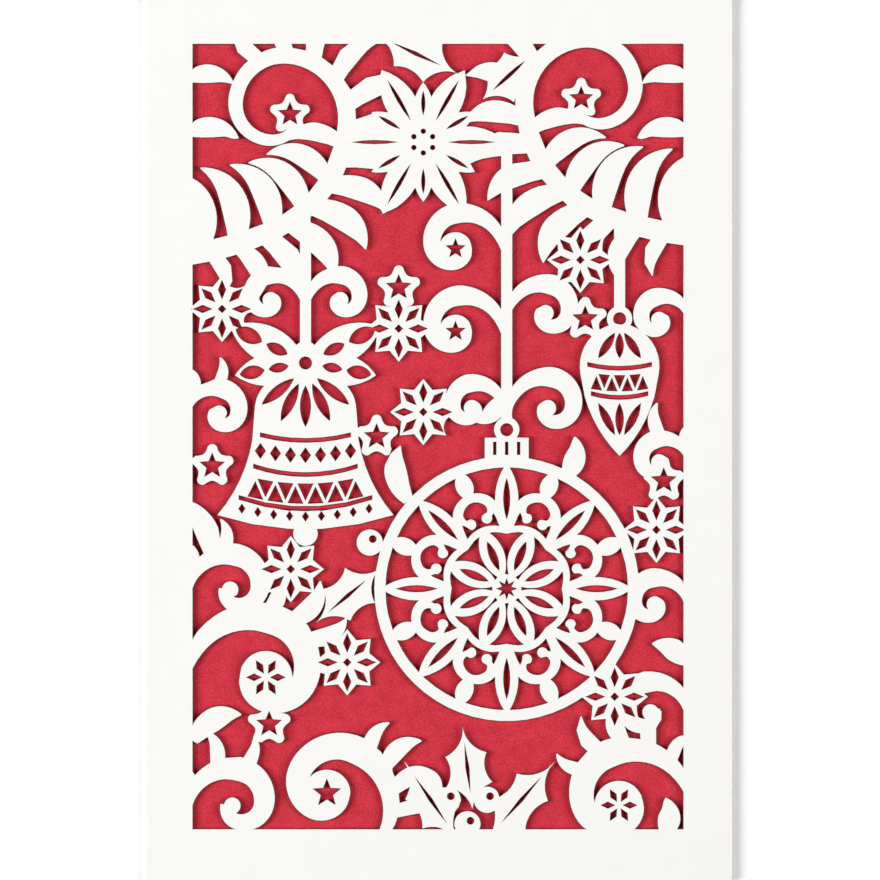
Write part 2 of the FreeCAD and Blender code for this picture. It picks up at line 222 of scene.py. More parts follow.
def round_end_middles(length, turn):
    """Points between two like moves, whose three points turn one way by a fair amount."""
    before = np.roll(length, 1)
    three = np.stack([np.roll(turn, 1), turn, np.roll(turn, -1)])
    one_way = (three > 0).all(0) | (three < 0).all(0)
    fair = (abs(three) > SLIGHT_TURN).all(0) & (abs(three) < SURE_CORNER).all(0)
    off = off_by(np.stack([length, before]), abs(turn))
    alike = abs(length - before) < ALIKE_LENGTHS * length
    return one_way & fair & alike & (off < MOST_OFF).all(0)


def lone_corners(length, turn, sure):
    """Points that turn too much, or stand too far off their moves, to belong to a curve."""
    size = abs(turn)
    off = off_by(np.stack([length, np.roll(length, 1)]), size)
    between = np.roll(sure, 1) & np.roll(sure, -1)
    most = np.where(between, MOST_OFF, MOST_OFF_IN_A_ROW)
    regular = (off > LEAST_OFF).any(0) & (off < most).all(0)
    regular &= (size < ALONE_CORNER) | ~between
    beside = np.maximum(np.roll(size, 1), np.roll(size, -1))
    return (size > SLIGHT_TURN) & (~regular | (size > np.maximum(GENTLE_TURN, STANDS_OUT * beside)))


print("a curve may stand", round(MOST_OFF, 3), "mm off its moves,",
      "or in a row of moves", round(MOST_OFF_IN_A_ROW, 3), "mm")

# %% [markdown]
# ## The corners of a whole path
# The rules leave a few moves that no curve of the drawing makes: they would stand too far off, be
# tighter than the smallest dot, or bend both ways. Each of those gives way at its sharper end,
# which becomes a corner, until none is left.

# %% Mark the corners
SMALLEST_RADIUS = 0.42


def impossible_moves(length, turn, corner):
    """Moves between two smooth points that would be too far off, too tight, or bent both ways."""
    size, onward = abs(turn), abs(np.roll(turn, -1))
    wrong = off_by(length, (size + onward) / 2) > MOST_OFF_BESIDE_A_RIB
    wrong |= length < SMALLEST_RADIUS * (size + onward) / 2
    wrong |= (turn * np.roll(turn, -1) <= 0) & (np.minimum(size, onward) > SLIGHT_TURN)
    return wrong & ~corner & ~np.roll(corner, -1) & (np.maximum(size, onward) > SLIGHT_TURN / 2)


def corners_of(length, turn, fixed):
    """Which points of a path are corners, the fixed ones among them."""
    size = abs(turn)
    sure = (size > SURE_CORNER) | fixed
    even = even_moves(length, turn)
    spared = even | np.roll(even, 1) | round_end_middles(length, turn)
    corner = sure | (lone_corners(length, turn, sure) & ~spared)
    while (wrong := impossible_moves(length, turn, corner)).any():
        for i in np.flatnonzero(wrong):
            after = (i + 1) % len(turn)
            corner[i if size[i] > size[after] else after] = True
    return corner


def corner_count(path):
    """How many corners a path has."""
    length, _, turn = moves_of(path)
    return corners_of(length, turn, np.zeros(len(path), bool)).sum()


print(sum(map(corner_count, openings)), "of the points are corners")

# %% [markdown]
# ## Where two curves cross
# Where one curve of the drawing crosses another, the corner was found on their straight moves, so
# it stands a little inside both curves. A curve's last whole move tells its radius, and the
# radius tells how far off the curve the corner is. Moved out by both amounts, the corner is on
# both curves again.

# %% Move the crossings on to their curves
USUAL_OFF = 0.9 * CUTTER_TOLERANCE
LEAST_SLOPE = 0.02
SQUARE_ENOUGH = 0.3
FURTHEST_MOVE = 2 * CUTTER_TOLERANCE


def usual_length(turn):
    """How long the cutter's moves are where each turns by this much."""
    return 2 * USUAL_OFF / max(math.tan(abs(turn) / 4), LEAST_SLOPE)


def off_the_curve(length, turn, corner, i, step):
    """How far the crossing at the end of a move stands inside the curve: i is its smooth end."""
    count = len(turn)
    last, whole = (i, (i - 1) % count) if step > 0 else ((i - 1) % count, i)
    full = length[whole]
    if corner[(i - step) % count]:
        full = max(full, length[last], usual_length(turn[i]))
    gone = min(length[last], full)
    return gone * (full - gone) * math.sin(abs(turn[i]) / 2) / full * np.sign(turn[i])


def crossings_moved(path, length, heading, turn, corner):
    """The path with each crossing of two curves moved out on to both of them."""
    moved = path.copy()
    count = len(path)
    for i in np.flatnonzero(corner):
        rows, wants = [], []
        for neighbour, step, angle in (
                ((i - 1) % count, 1, heading[i - 1]), ((i + 1) % count, -1, heading[i])):
            off = 0.0 if corner[neighbour] else off_the_curve(length, turn, corner, neighbour, step)
            rows.append((math.sin(angle), -math.cos(angle)))
            wants.append(off)
        rows, wants = np.array(rows), np.array(wants)
        if abs(np.linalg.det(rows)) > SQUARE_ENOUGH:
            moved[i] += np.clip(np.linalg.solve(rows, wants), -FURTHEST_MOVE, FURTHEST_MOVE)
        else:
            moved[i] += rows.T @ wants / 2
    return moved


print("a crossing moves by up to", FURTHEST_MOVE, "mm each way")

# %% [markdown]
# ## Steps that the drawing doesn't have
# Where two shapes nearly meet, their union leaves a step of a few tenths of a millimetre, with
# two points that turn opposite ways. A laser would round it off, so the two points are joined in
# one. The longer a point's neighbouring move is, the more the joint stays with it, and a point on
# the window's edge stays there.

# %% Join the two points of each tiny step
SMALLEST_STEP, SMALLEST_SHOULDER = 0.3, 0.7
SQUARE_TURNS = math.radians(65), math.radians(108)
ON_EDGE_WITHIN = 0.001
EDGE_WEIGHT = 1000
FEWEST_POINTS = 4


def at_window_edge(path, window):
    """Which points of a path lie on one of the window's four straight sides."""
    return np.minimum(abs(path - window[0]), abs(path - window[1])).min(1) < ON_EDGE_WITHIN


def unstepped(path, window):
    """The path without its tiny steps and square shoulders."""
    while len(path) > FEWEST_POINTS:
        length, _, turn = moves_of(path)
        onward = np.roll(turn, -1)
        sizes = np.sort(abs(np.stack([turn, onward])), 0)
        square = (sizes[0] > SQUARE_TURNS[0]) & (sizes[1] < SQUARE_TURNS[1])
        shoulder = (length < SMALLEST_SHOULDER) & square
        step = (length < SMALLEST_STEP) & (sizes[0] > SLIGHT_TURN)
        step = (step | shoulder) & (turn * onward < 0)
        if not step.any():
            break
        i = np.flatnonzero(step)[np.argmin(length[step])]
        j = (i + 1) % len(path)
        weight = length[[i - 1, j]] ** 2 + EDGE_WEIGHT * at_window_edge(path[[i, j]], window)
        path[i] = weight @ path[[i, j]] / weight.sum()
        path = np.delete(path, j, 0)
    return path


every_point = np.concatenate(openings)
window = every_point.min(0), every_point.max(0)
openings = [unstepped(p, window) for p in openings]
print(sum(map(len, openings)), "points without the steps")

# %% [markdown]
# ## Smooth moves between the corners
# Each move between smooth points becomes a cubic curve. It leaves and arrives along the path's
# own tangents, so its neighbours carry on without a kink. A tangent lies nearer to the longer of
# its two moves, which bends less. The curve is then divided finely enough that no step turns by
# more than 9 degrees.

# %% Round a path between its corners
FINE_TURN = math.radians(9)


def tangents_of(length, heading, turn, corner):
    """The heading of the smooth path at each point that isn't a corner."""
    before = np.roll(length, 1)
    cut_short = np.where(length < before, np.roll(corner, -1), np.roll(corner, 1))
    alike = abs(length - before) < ALIKE_LENGTHS * np.maximum(length, before)
    share = np.where(cut_short | alike, 0.5, length / (before + length))
    return np.roll(heading, 1) + share * turn


def bends_of(heading, tangent, corner):
    """How far each move's curve turns from its start to its middle, and from there to its end."""
    onward = np.roll(corner, -1)
    start = np.where(corner, 0.0, wrapped(heading - tangent))
    end = np.where(onward, 0.0, wrapped(np.roll(tangent, -1) - heading))
    return np.where(corner, end, start), np.where(onward, start, end)


def curve_points(start, stop, start_bend, end_bend, count):
    """Points along the cubic curve of one move, without its last."""
    move = stop - start
    square = np.array([-move[1], move[0]])
    first = start + (move - square * math.tan(start_bend)) / 3
    second = stop - (move + square * math.tan(end_bend)) / 3
    for t in np.arange(count) / count:
        u = 1 - t
        yield u ** 3 * start + 3 * u * u * t * first + 3 * u * t * t * second + t ** 3 * stop


def rounded(path, window, stiff):
    """The path with its curves smoothed, and which move each point came from."""
    length, heading, turn = moves_of(path)
    at_edge = at_window_edge(path, window)
    corner = corners_of(length, turn, at_edge)
    tangent = tangents_of(length, heading, turn, corner)
    kept = at_edge | stiff | np.roll(stiff, 1)
    path = np.where(kept[:, None], path, crossings_moved(path, length, heading, turn, corner))
    start_bend, end_bend = bends_of(moves_of(path)[1], tangent, corner)
    made, owner = [], []
    for i, start in enumerate(path):
        count = max(1, math.ceil((abs(start_bend[i]) + abs(end_bend[i])) / FINE_TURN))
        if stiff[i]:
            count = 1
        made += curve_points(start, path[(i + 1) % len(path)], start_bend[i], end_bend[i], count)
        owner += [i] * count
    return np.clip(made, *window), np.array(owner)


print("largest turn of a smooth step:", round(math.degrees(FINE_TURN)), "degrees")

# %% [markdown]
# ## No path may cross another
# In the narrowest ribs two smoothed paths could bulge into each other, and a leaf can't be filled
# between paths that cross. So all the short moves are tested against their neighbours. A move
# that crosses another is marked stiff, which keeps it straight, and its path is rounded again.

# %% Round every path and test them all
MOST_ATTEMPTS = 5


def crossed(paths):
    """For each short move of the paths, whether it crosses another one."""
    start = np.concatenate(paths)
    stop = np.concatenate([np.roll(p, -1, 0) for p in paths])
    least, most = np.minimum(start, stop), np.maximum(start, stop)

    def side(a, b, c):
        """Positive where c lies to the left of the line from a to b."""
        ab, ac = b - a, c - a
        return ab[..., 0] * ac[..., 1] - ab[..., 1] * ac[..., 0]

    found = np.zeros(len(start), bool)
    for i, (a, b) in enumerate(zip(start, stop)):
        near = np.flatnonzero((least < most[i]).all(1) & (most > least[i]).all(1))
        c, d = start[near], stop[near]
        found[i] = ((side(a, b, c) * side(a, b, d) < 0) & (side(c, d, a) * side(c, d, b) < 0)).any()
    return np.split(found, np.cumsum([len(p) for p in paths])[:-1])


stiff = [np.zeros(len(p), bool) for p in openings]
made = [rounded(p, window, s) for p, s in zip(openings, stiff)]
for attempt in range(MOST_ATTEMPTS):
    hits = crossed([path for path, _ in made])
    print("attempt", attempt, "moves that cross another:", sum(h.sum() for h in hits))
    if not any(h.any() for h in hits):
        break
    for k, hit in enumerate(hits):
        if hit.any():
            stiff[k][made[k][1][hit]] = True
            made[k] = rounded(openings[k], window, stiff[k])
openings = [path for path, _ in made]
print(sum(map(len, openings)), "points after rounding")

# %% [markdown]
# ## What the tree needs to know at each point
# A laser beam is a narrow cone, so a cut is a little wider at one face of the card than at the
# other, and it browns a thin line of the paper beside it. Both widths are measured square to the
# path, so each point gets its direction out of the paper. Near a sharp tip there is less room
# than that, so each point also gets the room it has on either side: the widest ball that touches
# it and no other point.

# %% Directions and room along the paths
MOST_MITRE = 4.0
TINY = 1e-6
JUST_AHEAD = 1e-5
LOOK_AROUND = 0.6
SAFE_SHARE = 0.8


def outward_of(path):
    """Directions out of the paper at each point, and how much longer a corner's own line is."""
    move = np.roll(path, -1, 0) - path
    move /= np.hypot(*move.T)[:, None]
    square = np.stack([move[:, 1], -move[:, 0]], 1)
    both = square + np.roll(square, 1, 0)
    size = np.maximum(np.hypot(*both.T), TINY)
    return both / size[:, None], np.minimum(2 / size, MOST_MITRE)


def room_beside(points, outward):
    """How far each point can move along outward before it meets another, at most LOOK_AROUND."""
    tree = KDTree(len(points))
    for i, (x, y) in enumerate(points):
        tree.insert((x, y, 0.0), i)
    tree.balance()
    room = np.full(len(points), LOOK_AROUND)
    for i, (x, y) in enumerate(points):
        for near, k, distance in tree.find_range((x, y, 0.0), LOOK_AROUND):
            ahead = (near[0] - x) * outward[i, 0] + (near[1] - y) * outward[i, 1]
            if k != i and ahead > JUST_AHEAD:
                room[i] = min(room[i], SAFE_SHARE * distance ** 2 / (2 * ahead))
    return room


points = np.concatenate(openings)
outward, mitre = (np.concatenate(part) for part in zip(*map(outward_of, openings)))
slot_room = room_beside(points, outward) / mitre
paper_room = room_beside(points, -outward) / mitre
outward = outward * mitre[:, None]
print("least room in an opening:", round(slot_room.min(), 3), "mm,",
      "in paper:", round(paper_room.min(), 3), "mm")

# %% [markdown]
# ## The flat outline of a leaf
# Each leaf ends on three sides in a cut edge, and on the fourth it runs on into the fold. The
# outer path therefore has four points on the fold line, so that the browned line along the cut
# edges can end there and go on round the fold. It doesn't widen downwards, because that would
# leave the card's box.

# %% The outer path, with its corners on the fold line
SCORCH_WIDTH = 0.12
low, high = (Vector(c) / MM for c in cad_box)
fold_outside = leaf_top / 2
fold_line = low.x + fold_outside
fold_heights = (high.y, high.y - SCORCH_WIDTH, low.y + SCORCH_WIDTH, low.y)
outline = np.array([(fold_line, y) for y in fold_heights] + [(high.x, low.y), (high.x, high.y)])
outline_outward = np.array([(0, 1), (0, 0), (0, 0), (0, -1), (1, -1), (1, 1)], float)
outline_at_fold = [x == fold_line for x, _ in outline]
print("fold line at", round(fold_line, 3), "mm")

# %% [markdown]
# ## A mesh of paths
# The tree works on a mesh that has only edges. What it needs to know rides along as attributes of
# the points, so the same tree can work on the pierced front leaf and on the plain back leaf.

# %% Build the path meshes of both leaves
def path_mesh(name, paths, out, slot, paper):
    """The leaf's outline and its openings, with what the tree reads at each point."""
    loops = [outline] + paths
    verts = np.concatenate(loops)
    edges, start = [], 0
    for loop in loops:
        count = len(loop)
        edges += [(start + i, start + (i + 1) % count) for i in range(count)]
        start += count
    mesh = bpy.data.meshes.new(name)
    mesh.from_pydata([(x, y, 0.0) for x, y in verts], edges, [])
    whole_outward = np.pad(np.concatenate([outline_outward, out]), ((0, 0), (0, 1)))
    at_fold = outline_at_fold + [False] * (len(verts) - len(outline))
    for attribute, kind, field, values in (
            ("outward", "FLOAT_VECTOR", "vector", whole_outward.ravel()),
            ("slot_room", "FLOAT", "value", np.concatenate([np.zeros(len(outline)), slot])),
            ("paper_room", "FLOAT", "value", np.concatenate([np.ones(len(outline)), paper])),
            ("at_fold", "BOOLEAN", "value", at_fold)):
        mesh.attributes.new(attribute, kind, "POINT").data.foreach_set(field, values)
    return mesh


front_paths = path_mesh("front_leaf_paths", openings, outward, slot_room, paper_room)
back_paths = path_mesh("back_leaf_paths", [], np.zeros((0, 2)), [], [])
print("front leaf path:", len(front_paths.vertices), "points, back:", len(back_paths.vertices))

# %% [markdown]
# ## Ivory card
# The card is smooth pearl-coated board. It was coated and pressed between rollers, so it has only
# a faint tooth, and a soft glow rather than a shine. Beside every cut the heat has browned it.
# The tree that cuts the leaf notes how near each point is to a cut, from 0 to 1, and the material
# reads that, while noise breaks the brown line up.

# %% Material: pearl-coated card
def new_material(name):
    """An empty node material, and its tree."""
    material = bpy.data.materials.new(name)
    material.use_nodes = True
    material.node_tree.nodes.clear()
    return material, material.node_tree


def pearl_coated_card():
    """Coated board: faint clouds of 6 mm, a pressed tooth of 0.25 mm, brown beside a cut."""
    material, tree = new_material("pearl_coated_card")
    place = add_node(tree, "ShaderNodeTexCoord").outputs["Object"]
    cloud = add_node(tree, "ShaderNodeTexNoise", {
        "Vector": place, "Scale": 1 / (6 * MM), "Detail": 3.0})
    tooth = add_node(tree, "ShaderNodeTexNoise", {
        "Vector": place, "Scale": 1 / (0.25 * MM), "Detail": 2.0})
    smoke = add_node(tree, "ShaderNodeTexNoise", {
        "Vector": place, "Scale": 1 / (0.7 * MM), "Detail": 2.0})
    board = add_node(tree, "ShaderNodeMix", {
        0: cloud, 6: linear("#F7F6F3"), 7: linear("#FAF9F6")}, data_type="RGBA")
    # The smoke drifts, so the brown fills two fifths to three quarters of the line's width.
    scorch = add_node(tree, "ShaderNodeAttribute", attribute_name="scorch")
    reach = add_node(tree, "ShaderNodeMapRange", {
        "Value": smoke, "From Min": 0.3, "From Max": 0.7, "To Min": 0.25, "To Max": 0.6})
    browned = add_node(tree, "ShaderNodeMapRange", {
        "Value": scorch.outputs["Fac"], "From Min": reach, "From Max": 1.1,
        "To Min": 0.0, "To Max": 1.0}, interpolation_type="SMOOTHSTEP")
    colour = add_node(tree, "ShaderNodeMix", {
        0: browned, 6: board.outputs[2], 7: linear("#6B3427")}, data_type="RGBA")
    bump = add_node(tree, "ShaderNodeBump", {
        "Height": tooth, "Strength": 0.25, "Distance": 0.03 * MM})
    shader = add_node(tree, "ShaderNodeBsdfPrincipled", {
        "Base Color": colour.outputs[2], "Roughness": 0.8, "IOR": 1.5, "Specular IOR Level": 0.3,
        "Normal": bump})
    add_node(tree, "ShaderNodeOutputMaterial", {"Surface": shader})
    return material


ivory_card = pearl_coated_card()
print("made", ivory_card.name)

# %% [markdown]
# ## The charred wall of a cut
# The laser boils the paper away, and what stays on the wall is a skin of brown char, dull and
# uneven. It shows as a thin dark line round every opening, and the line is what makes the drawing
# look crisp.

# %% Material: laser-charred edge
def laser_charred_edge():
    """Burnt paper fibre: dull, dark red-brown, with patches of 0.5 mm where less of it is burnt."""
    material, tree = new_material("laser_charred_edge")
    place = add_node(tree, "ShaderNodeTexCoord").outputs["Object"]
    patch = add_node(tree, "ShaderNodeTexNoise", {
        "Vector": place, "Scale": 1 / (0.5 * MM), "Detail": 3.0})
    colour = add_node(tree, "ShaderNodeMix", {
        0: patch, 6: linear("#24100E"), 7: linear("#5A2820")}, data_type="RGBA")
    bump = add_node(tree, "ShaderNodeBump", {
        "Height": patch, "Strength": 0.4, "Distance": 0.04 * MM})
    shader = add_node(tree, "ShaderNodeBsdfPrincipled", {
        "Base Color": colour.outputs[2], "Roughness": 0.85, "IOR": 1.45, "Normal": bump})
    add_node(tree, "ShaderNodeOutputMaterial", {"Surface": shader})
    return material


charred_edge = laser_charred_edge()
print("made", charred_edge.name)

# %% [markdown]
# ## One tree cuts a leaf out of its paths
# The leaf follows one rule everywhere: fill between the paths, brown the rim, go down through the
# sheet. Modelling hundreds of rims by hand would be slow and uneven, so a Geometry Nodes tree
# does it. The inputs are the sheet's thickness, the two widths and the height, so the same tree
# makes the plain back leaf too. Everything that the tree reads from its points or notes on them
# has a name.

# %% Begin the tree: inputs and named attributes
leaf_tree = bpy.data.node_groups.new("laser_cut_leaf", "GeometryNodeTree")
TREE_INPUTS = {"Paths": "Geometry", "Sheet thickness": "Float", "Kerf taper": "Float",
               "Scorch width": "Float", "Top height": "Float", "Card": "Material",
               "Charred edge": "Material"}
for name, kind in TREE_INPUTS.items():
    leaf_tree.interface.new_socket(name, in_out="INPUT", socket_type="NodeSocket" + kind)
leaf_tree.interface.new_socket("Leaf", in_out="OUTPUT", socket_type="NodeSocketGeometry")
given = add_node(leaf_tree, "NodeGroupInput").outputs

NOTES = {"outward": "FLOAT_VECTOR", "slot_room": "FLOAT", "paper_room": "FLOAT",
         "at_fold": "BOOLEAN", "inset": "FLOAT_VECTOR", "widened": "FLOAT_VECTOR",
         "at_cut": "BOOLEAN", "charred": "BOOLEAN"}
note = {name: add_node(leaf_tree, "GeometryNodeInputNamedAttribute", {"Name": name}, data_type=kind)
        for name, kind in NOTES.items()}
print(leaf_tree.name, "reads", ", ".join(note))

# %% [markdown]
# ## Fill the sheet
# The paths are filled once. The filled face has lost what the paths knew, so each of its points
# asks the nearest point of the paths. It then knows how far the browned line reaches into the
# paper there, and how far the wall slants out below it. Each is as wide as the input says, or as
# the room there is.

# %% Fill between the paths and note two shifts
curve = add_node(leaf_tree, "GeometryNodeMeshToCurve", {"Mesh": given["Paths"]})
sheet = add_node(leaf_tree, "GeometryNodeFillCurve", {"Curve": curve})
nearest = add_node(leaf_tree, "GeometryNodeSampleNearest", {
    "Geometry": given["Paths"]}, domain="POINT")
shifts = {"at_fold": note["at_fold"]}
for name, width, room, sign in (("inset", "Scorch width", "paper_room", -1.0),
                                ("widened", "Kerf taper", "slot_room", 1.0)):
    least = add_node(leaf_tree, "ShaderNodeMath", {
        0: given[width], 1: note[room]}, operation="MINIMUM")
    signed = add_node(leaf_tree, "ShaderNodeMath", {0: least, 1: sign}, operation="MULTIPLY")
    shifts[name] = add_node(leaf_tree, "ShaderNodeVectorMath", {
        0: note["outward"], "Scale": signed}, operation="SCALE")
for name, value in shifts.items():
    there = add_node(leaf_tree, "GeometryNodeSampleIndex", {
        "Geometry": given["Paths"], "Value": value, "Index": nearest},
        data_type=NOTES[name], domain="POINT")
    sheet = add_node(leaf_tree, "GeometryNodeStoreNamedAttribute", {
        "Geometry": sheet, "Name": name, "Value": there}, data_type=NOTES[name], domain="POINT")
print("noted", ", ".join(shifts))

# %% [markdown]
# ## Rim, wall and underside
# The face is drawn in from every cut. Its edge is extruded back to the cut, as the browned rim,
# and then once more, down and outwards, as the charred wall. The same filled face, moved as far
# and turned over, closes the underside, so every edge meets its neighbour and the leaf is one
# closed shell.

# %% Extrude the rim and the wall, and close the shell
WELD_WITHIN = 0.001
back = add_node(leaf_tree, "ShaderNodeVectorMath", {
    0: note["inset"], "Scale": -1.0}, operation="SCALE")
depth = add_node(leaf_tree, "ShaderNodeMath", {
    0: given["Sheet thickness"], 1: -1.0}, operation="MULTIPLY")
down = add_node(leaf_tree, "ShaderNodeCombineXYZ", {"Z": depth})
slant = add_node(leaf_tree, "ShaderNodeVectorMath", {
    0: note["widened"], 1: down}, operation="ADD")

beside = add_node(leaf_tree, "GeometryNodeInputMeshEdgeNeighbors")
single = add_node(leaf_tree, "FunctionNodeCompare", {
    2: beside, 3: 1}, data_type="INT", operation="EQUAL")
cut = add_node(leaf_tree, "FunctionNodeBooleanMath", {
    0: single, 1: note["at_fold"]}, operation="NIMPLY")
drawn_in = add_node(leaf_tree, "GeometryNodeSetPosition", {
    "Geometry": sheet, "Offset": note["inset"]})
rim = add_node(leaf_tree, "GeometryNodeExtrudeMesh", {
    "Mesh": drawn_in, "Selection": cut, "Offset Scale": 0.0}, mode="EDGES").outputs
upper = add_node(leaf_tree, "GeometryNodeSetPosition", {
    "Geometry": rim["Mesh"], "Selection": rim["Top"], "Offset": back})
upper = add_node(leaf_tree, "GeometryNodeStoreNamedAttribute", {
    "Geometry": upper, "Name": "at_cut", "Value": rim["Top"]},
    data_type="BOOLEAN", domain="POINT")
browned = add_node(leaf_tree, "FunctionNodeBooleanMath", {
    0: rim["Side"], 1: note["at_cut"]}, operation="AND")
upper = add_node(leaf_tree, "GeometryNodeStoreNamedAttribute", {
    "Geometry": upper, "Name": "scorch", "Value": browned}, data_type="FLOAT", domain="CORNER")
wall = add_node(leaf_tree, "GeometryNodeExtrudeMesh", {
    "Mesh": upper, "Selection": rim["Top"], "Offset Scale": 0.0}, mode="EDGES").outputs
upper = add_node(leaf_tree, "GeometryNodeSetPosition", {
    "Geometry": wall["Mesh"], "Selection": wall["Top"], "Offset": slant})
upper = add_node(leaf_tree, "GeometryNodeStoreNamedAttribute", {
    "Geometry": upper, "Name": "charred", "Value": wall["Side"]},
    data_type="BOOLEAN", domain="FACE")
lowered = add_node(leaf_tree, "GeometryNodeSetPosition", {"Geometry": sheet, "Offset": slant})
lower = add_node(leaf_tree, "GeometryNodeFlipFaces", {"Mesh": lowered})
both = add_node(leaf_tree, "GeometryNodeJoinGeometry")
for part in (upper, lower):
    leaf_tree.links.new(part.outputs[0], both.inputs[0])
welded = add_node(leaf_tree, "GeometryNodeMergeByDistance", {
    "Geometry": both, "Distance": WELD_WITHIN})
print("welds within", WELD_WITHIN, "mm")

# %% [markdown]
# ## Real size and materials
# So far the tree worked in millimetres at height nought. The last nodes scale the leaf to metres,
# lift it to its place in the stack, and give the walls and the rest their materials.

# %% End the tree
lift = add_node(leaf_tree, "ShaderNodeMath", {
    0: given["Top height"], 1: MM}, operation="MULTIPLY")
height = add_node(leaf_tree, "ShaderNodeCombineXYZ", {"Z": lift})
metres = add_node(leaf_tree, "GeometryNodeTransform", {
    "Geometry": welded, "Translation": height, "Scale": (MM, MM, MM)})
real = add_node(leaf_tree, "GeometryNodeRealizeInstances", {"Geometry": metres})
card = add_node(leaf_tree, "GeometryNodeSetMaterial", {
    "Geometry": real, "Material": given["Card"]})
edge = add_node(leaf_tree, "GeometryNodeSetMaterial", {
    "Geometry": card, "Selection": note["charred"], "Material": given["Charred edge"]})
add_node(leaf_tree, "NodeGroupOutput", {"Leaf": edge})
print(leaf_tree.name, "has", len(leaf_tree.nodes), "nodes")

# %% [markdown]
# ## Cut both leaves
# A modifier runs the tree on a path mesh. Its inputs are set by their identifiers before the
# object is first evaluated, and the result is then taken out as a plain mesh, so that nothing is
# left to change.

# %% Run the tree on both path meshes
KERF_TAPER = 0.12


def cut_leaf(paths, sizes):
    """A plain mesh of the leaf that the tree makes from these paths with these inputs."""
    holder = bpy.data.objects.new(paths.name, paths)
    bpy.context.scene.collection.objects.link(holder)
    modifier = holder.modifiers.new("cut", "NODES")
    modifier.node_group = leaf_tree
    for item in leaf_tree.interface.items_tree:
        if item.in_out == "INPUT" and item.name in sizes:
            modifier[item.identifier] = sizes[item.name]
    ready = holder.evaluated_get(bpy.context.evaluated_depsgraph_get())
    mesh = bpy.data.meshes.new_from_object(ready)
    bpy.data.objects.remove(holder)
    # Set Material leaves an empty slot before its own. Taking it out counts the others down.
    mesh.materials.pop(index=0)
    return mesh


sheet_thickness = leaf_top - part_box("tape_top")[1].z / MM
common = {"Sheet thickness": sheet_thickness, "Kerf taper": KERF_TAPER,
          "Scorch width": SCORCH_WIDTH, "Card": ivory_card, "Charred edge": charred_edge}
front_leaf = cut_leaf(front_paths, {**common, "Top height": leaf_top})
back_leaf = cut_leaf(back_paths, {**common, "Top height": sheet_thickness})
print("front leaf:", len(front_leaf.polygons), "faces, back leaf:", len(back_leaf.polygons))

# %% [markdown]
# ## The fold
# Card doesn't crease to a knife edge round a stack this thick. It was scored and bent over it, so
# the fold is half a tube as high as the stack. A short profile is swept along it: the outer skin,
# the inner skin, and the two charred ends, with the same browned line as the leaves have.

# %% Bend the fold
FOLD_STEPS = 28
CARD_SLOT, CHAR_SLOT = 0, 1


def fold_into(shell):
    """Adds the half tube between the two leaves to a bmesh, in metres."""
    scorch = shell.loops.layers.float["scorch"]
    rows = {}
    sides = [low.y, low.y + SCORCH_WIDTH, high.y - SCORCH_WIDTH, high.y]
    for skin, radius in (("outer", fold_outside), ("inner", fold_outside - sheet_thickness)):
        for step in range(FOLD_STEPS + 1):
            angle = math.pi * step / FOLD_STEPS
            x = fold_line - radius * math.sin(angle)
            z = fold_outside + radius * math.cos(angle)
            rows[skin, step] = [shell.verts.new(Vector((x, y, z)) * MM) for y in sides]
    for step in range(FOLD_STEPS):
        for skin, order in (("outer", 1), ("inner", -1)):
            here, there = rows[skin, step], rows[skin, step + 1]
            for k in range(len(sides) - 1):
                face = shell.faces.new([here[k], here[k + 1], there[k + 1], there[k]][::order])
                face.smooth = True
                face.material_index = CARD_SLOT
                for corner in face.loops:
                    at_end = corner.vert in (here[0], there[0], here[-1], there[-1])
                    corner[scorch] = float(at_end and skin == "outer")
        for k, order in ((0, 1), (-1, -1)):
            ring = [rows["outer", step][k], rows["outer", step + 1][k],
                    rows["inner", step + 1][k], rows["inner", step][k]][::order]
            shell.faces.new(ring).material_index = CHAR_SLOT


print("fold radius:", round(fold_outside, 3), "mm outside,",
      round(fold_outside - sheet_thickness, 3), "mm inside")

# %% [markdown]
# ## One sheet of card
# The two leaves and the fold are one sheet, so they are welded into one closed mesh, along the
# fold line only. A closed mesh shares each edge between exactly two faces, which is easy to
# count.

# %% Weld the cover together
def weld_cover():
    """Both leaves and the fold as one closed mesh."""
    shell = bmesh.new()
    shell.from_mesh(front_leaf)
    shell.from_mesh(back_leaf)
    fold_into(shell)
    seam = [v for v in shell.verts if abs(v.co.x / MM - fold_line) < WELD_WITHIN]
    bmesh.ops.remove_doubles(shell, verts=seam, dist=WELD_WITHIN * MM)
    open_edges = [e for e in shell.edges if len(e.link_faces) != 2]
    print("edges not shared by two faces:", len(open_edges))
    print("volume:", round(shell.calc_volume(signed=True) / MM ** 3, 1), "mm3")
    mesh = bpy.data.meshes.new("cover_card")
    for material in (ivory_card, charred_edge):
        mesh.materials.append(material)
    shell.to_mesh(mesh)
    shell.free()
    return mesh


cover_mesh = weld_cover()
cover_card = bpy.data.objects.new("cover_card", cover_mesh)
bpy.context.scene.collection.objects.link(cover_card)
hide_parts("cover")
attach(cover_card, "root")
print("cover:", sum(len(p.vertices) - 2 for p in cover_mesh.polygons), "triangles")
